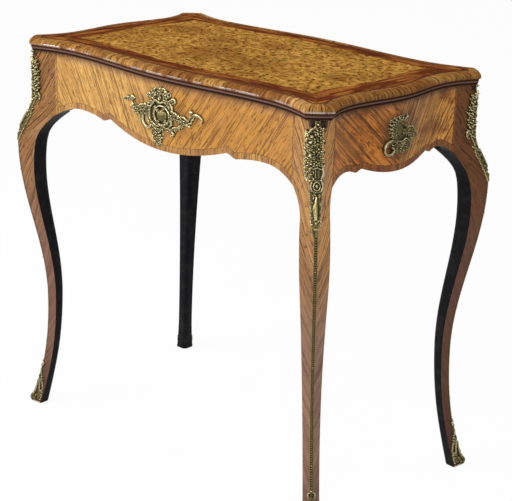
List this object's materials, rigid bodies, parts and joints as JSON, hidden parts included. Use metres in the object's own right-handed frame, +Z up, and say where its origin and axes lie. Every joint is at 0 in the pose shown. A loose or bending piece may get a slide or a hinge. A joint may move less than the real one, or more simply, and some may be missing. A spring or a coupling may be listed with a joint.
{
  "type": "centre table",
  "caption": "Small serpentine centre table with a banded burr top, shaped aprons, slender cabriole legs, knee mounts, foot mounts and bronze cartouches.",
  "frame": {"origin": "on the floor, midway between the feet and under the middle of the top", "axes": "+X along the length, -Y towards the front, +Z up"},
  "size_m": [0.7812, 0.457, 0.75],
  "materials": {
    "tulipwood": "waxed polish",
    "kingwood": "waxed polish",
    "burr": "waxed polish",
    "dark_line": "waxed polish",
    "oak": "bare, aged",
    "bronze": "aged gilding, dark in the recesses",
    "steel": "dull"
  },
  "bodies": {
    "root": {"top_board": "oak", "burr_panel": "burr", "band_front": "kingwood", "band_back": "kingwood", "band_left": "kingwood", "band_right": "kingwood", "top_line": "dark_line", "edge_front": "kingwood", "edge_back": "kingwood", "edge_left": "kingwood", "edge_right": "kingwood", "edge_corner_front_left": "kingwood", "edge_corner_front_right": "kingwood", "edge_corner_back_left": "kingwood", "edge_corner_back_right": "kingwood", "apron_front": "tulipwood", "apron_back": "tulipwood", "apron_left": "tulipwood", "apron_right": "tulipwood", "leg_front_left": "tulipwood", "leg_front_right": "tulipwood", "leg_back_left": "tulipwood", "leg_back_right": "tulipwood", "knee_mount_front_left": "bronze", "knee_mount_front_right": "bronze", "knee_mount_back_left": "bronze", "knee_mount_back_right": "bronze", "bead_strip_front_left": "bronze", "bead_strip_front_right": "bronze", "bead_strip_back_left": "bronze", "bead_strip_back_right": "bronze", "sabot_front_left": "bronze", "sabot_front_right": "bronze", "sabot_back_left": "bronze", "sabot_back_right": "bronze", "cartouche_front": "bronze", "cartouche_back": "bronze", "shell_mount_left": "bronze", "shell_mount_right": "bronze", "tenon_pegs": "oak", "glue_blocks": "oak", "top_screws": "steel"}
  },
  "joints": []
}
